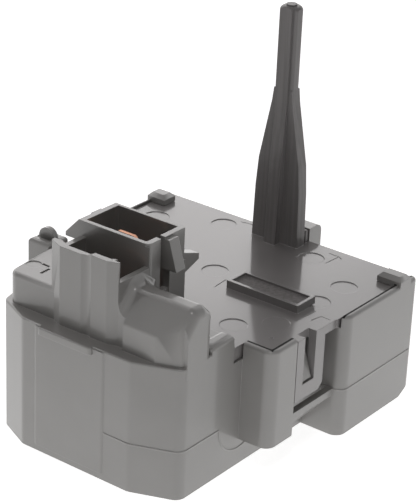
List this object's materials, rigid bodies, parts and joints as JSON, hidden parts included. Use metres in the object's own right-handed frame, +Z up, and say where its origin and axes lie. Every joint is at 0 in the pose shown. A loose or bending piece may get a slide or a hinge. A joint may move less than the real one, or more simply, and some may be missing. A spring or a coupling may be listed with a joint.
{
  "type": "compressor start relay",
  "caption": "Start relay and overload protector for a refrigerator compressor: moulded housing with connector shroud, and a clip-on lid with a tall cross-shaped post",
  "frame": {"origin": "axis of the common pin's socket, on the base plane", "axes": "+Z up from the base to the post's tip; -Y is the front lobe; +X is the side with the snap latch"},
  "size_m": [0.0704, 0.0795, 0.083],
  "materials": {
    "housing_plastic": "satin moulded grey plastic",
    "lid_plastic": "semi-gloss moulded grey plastic",
    "copper_blade": "bare stamped copper alloy",
    "socket_brass": "bare stamped brass",
    "strip_copper": "bare rolled copper alloy",
    "disc_ceramic": "sintered ceramic with metallised faces",
    "spring_steel": "rolled spring steel",
    "case_phenolic": "dark phenolic moulding",
    "cover_steel": "drawn steel with a dull plating",
    "contact_silver": "silver contact rivets",
    "bimetal": "rolled bimetal sheet",
    "stud_steel": "plated steel"
  },
  "bodies": {
    "root": {"housing": "housing_plastic", "lid": "lid_plastic", "line_tab": "copper_blade", "neutral_tab": "copper_blade", "common_pin_socket": "socket_brass", "start_pin_socket": "socket_brass", "run_pin_socket": "socket_brass", "common_bus": "strip_copper", "start_bus": "strip_copper", "run_bus": "strip_copper", "neutral_link": "strip_copper", "thermistor_disc": "disc_ceramic", "start_contact_spring": "spring_steel", "run_contact_spring": "spring_steel", "protector_case": "case_phenolic", "protector_cover": "cover_steel", "fixed_contacts": "contact_silver", "moving_contacts": "contact_silver", "bimetal_disc": "bimetal", "protector_stud": "stud_steel", "protector_nut": "stud_steel", "heater_strip": "spring_steel", "protector_line_terminal": "strip_copper", "protector_common_terminal": "strip_copper"}
  },
  "joints": []
}
